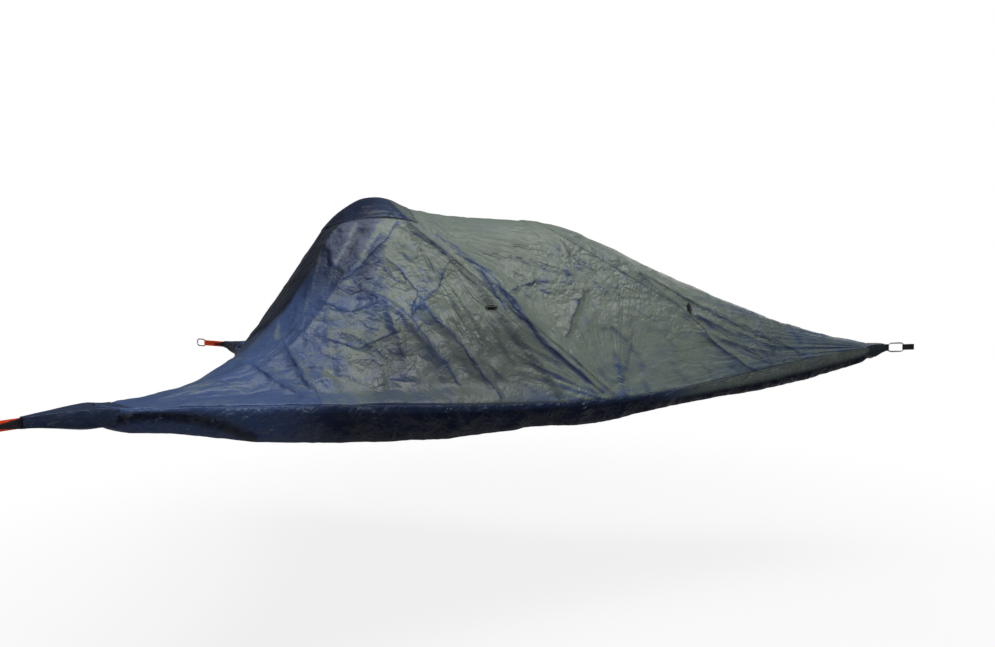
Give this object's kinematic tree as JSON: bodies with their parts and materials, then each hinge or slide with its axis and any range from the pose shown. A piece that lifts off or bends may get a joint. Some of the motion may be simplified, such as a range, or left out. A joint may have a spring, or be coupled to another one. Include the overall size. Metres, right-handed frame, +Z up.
{
  "type": "tree tent",
  "caption": "Triangular tree tent: a hammock floor slung taut by its corners, arched over by flexible hoops, with a mesh inner canopy and a rain fly that hangs over the edges.",
  "frame": {"origin": "the middle of the line between the two head corners, level with the three corners that hold the tent up", "axes": "+X from the head edge to the tail corner, +Y to the left head corner, +Z up"},
  "size_m": [4.284, 3.1098, 1.1007],
  "materials": {
    "fly_slate": "blue-slate coated fly cloth, satin",
    "fly_olive": "grey-green coated fly cloth, satin",
    "fly_dark": "navy to near-black coated fly cloth in shade",
    "floor_cloth": "matt coated floor cloth",
    "black_webbing": "matt woven polyester webbing",
    "orange_webbing": "matt woven orange-red polyester webbing",
    "black_mesh": "fine insect mesh",
    "pole_alloy": "satin anodised",
    "ring_steel": "polished welded steel",
    "black_plastic": "moulded nylon",
    "zip_tape": "woven zip tape"
  },
  "bodies": {
    "tent": {"floor_panel": "floor_cloth", "centre_strap": "black_webbing", "edge_webbing_right": "black_webbing", "edge_webbing_left": "black_webbing", "edge_webbing_head": "black_webbing", "corner_strap_right": "orange_webbing", "corner_strap_left": "orange_webbing", "corner_strap_tail": "black_webbing", "fly_cuff_right": "fly_slate", "fly_cuff_left": "fly_slate", "fly_cuff_tail": "fly_slate", "fly_tie_right": "black_webbing", "fly_tie_left": "black_webbing", "main_hoop_pole": "pole_alloy", "rear_hoop_pole": "pole_alloy", "main_ferrule_right_a": "pole_alloy", "main_ferrule_right_b": "pole_alloy", "main_ferrule_left_a": "pole_alloy", "main_ferrule_left_b": "pole_alloy", "rear_ferrule_right_a": "pole_alloy", "rear_ferrule_left_a": "pole_alloy", "main_foot_cup_right": "black_plastic", "main_foot_cup_left": "black_plastic", "rear_foot_cup_right": "black_plastic", "rear_foot_cup_left": "black_plastic", "fly_front_right": "fly_slate", "fly_front_left": "fly_slate", "fly_side_right": "fly_slate", "fly_side_left": "fly_slate", "fly_middle": "fly_olive", "fly_tail": "fly_olive", "fly_brim": "fly_slate", "fly_hem_right": "fly_dark", "fly_hem_left": "fly_dark", "fly_hem_head": "fly_dark", "inner_canopy": "black_mesh", "inner_door": "black_mesh", "inner_zip_tape": "zip_tape", "main_clip_right": "black_plastic", "main_clip_left": "black_plastic", "rear_clip_right": "black_plastic", "rear_clip_left": "black_plastic", "fly_zip_tape": "zip_tape", "fly_zip_coil": "black_plastic", "guy_tab_front_right": "black_webbing", "guy_tab_front_left": "black_webbing", "guy_tab_rear_right": "black_webbing", "guy_tab_rear_left": "black_webbing"},
    "ring_right": {"corner_ring_right": "ring_steel"},
    "ring_left": {"corner_ring_left": "ring_steel"},
    "ring_tail": {"corner_ring_tail": "ring_steel", "tail_loop": "black_webbing"},
    "fly_slider": {"fly_zip_slider": "ring_steel"},
    "fly_pull": {"fly_zip_pull": "black_plastic"},
    "inner_slider": {"inner_zip_slider": "ring_steel"},
    "inner_pull": {"inner_zip_pull": "black_plastic"},
    "toggle_front_right": {"toggle_front_right": "black_plastic"},
    "toggle_front_left": {"toggle_front_left": "black_plastic"},
    "toggle_rear_right": {"toggle_rear_right": "black_plastic"},
    "toggle_rear_left": {"toggle_rear_left": "black_plastic"}
  },
  "joints": [
    {"name": "ring_right_swing", "type": "hinge", "parent": "tent", "child": "ring_right", "pos_m": [-0.14739, -1.48519, 0], "axis": [0, 0, 1], "range_deg": [-90, 90]},
    {"name": "ring_left_swing", "type": "hinge", "parent": "tent", "child": "ring_left", "pos_m": [-0.14739, 1.48519, 0], "axis": [0, 0, 1], "range_deg": [-90, 90]},
    {"name": "ring_tail_swing", "type": "hinge", "parent": "tent", "child": "ring_tail", "pos_m": [3.909, 0, 0], "axis": [0, 0, 1], "range_deg": [-90, 90]},
    {"name": "toggle_front_right_swivel", "type": "hinge", "parent": "tent", "child": "toggle_front_right", "pos_m": [1.69576, -0.41494, 0.30211], "axis": [0.1458, -0.9009, 0.4088], "range_deg": [-60, 60]},
    {"name": "toggle_front_left_swivel", "type": "hinge", "parent": "tent", "child": "toggle_front_left", "pos_m": [1.69576, 0.41494, 0.30211], "axis": [0.1458, 0.9009, 0.4088], "range_deg": [-60, 60]},
    {"name": "toggle_rear_right_swivel", "type": "hinge", "parent": "tent", "child": "toggle_rear_right", "pos_m": [2.73169, -0.17744, 0.25973], "axis": [0.1749, -0.9122, 0.3706], "range_deg": [-60, 60]},
    {"name": "toggle_rear_left_swivel", "type": "hinge", "parent": "tent", "child": "toggle_rear_left", "pos_m": [2.73169, 0.17744, 0.25973], "axis": [0.1749, 0.9122, 0.3706], "range_deg": [-60, 60]},
    {"name": "fly_zip_slide", "type": "slide", "parent": "tent", "child": "fly_slider", "axis": [0.5704, 0, 0.8214], "range_m": [0, 0.47]},
    {"name": "fly_pull_flip", "type": "hinge", "parent": "fly_slider", "child": "fly_pull", "pos_m": [0.58139, 0, 0.28543], "axis": [0, 1, 0], "range_deg": [0, 150]},
    {"name": "inner_zip_slide", "type": "slide", "parent": "tent", "child": "inner_slider", "axis": [0.576, 0, 0.8174], "range_m": [0, 0.55]},
    {"name": "inner_pull_flip", "type": "hinge", "parent": "inner_slider", "child": "inner_pull", "pos_m": [0.60556, 0, 0.20887], "axis": [0, 1, 0], "range_deg": [0, 60]}
  ]
}
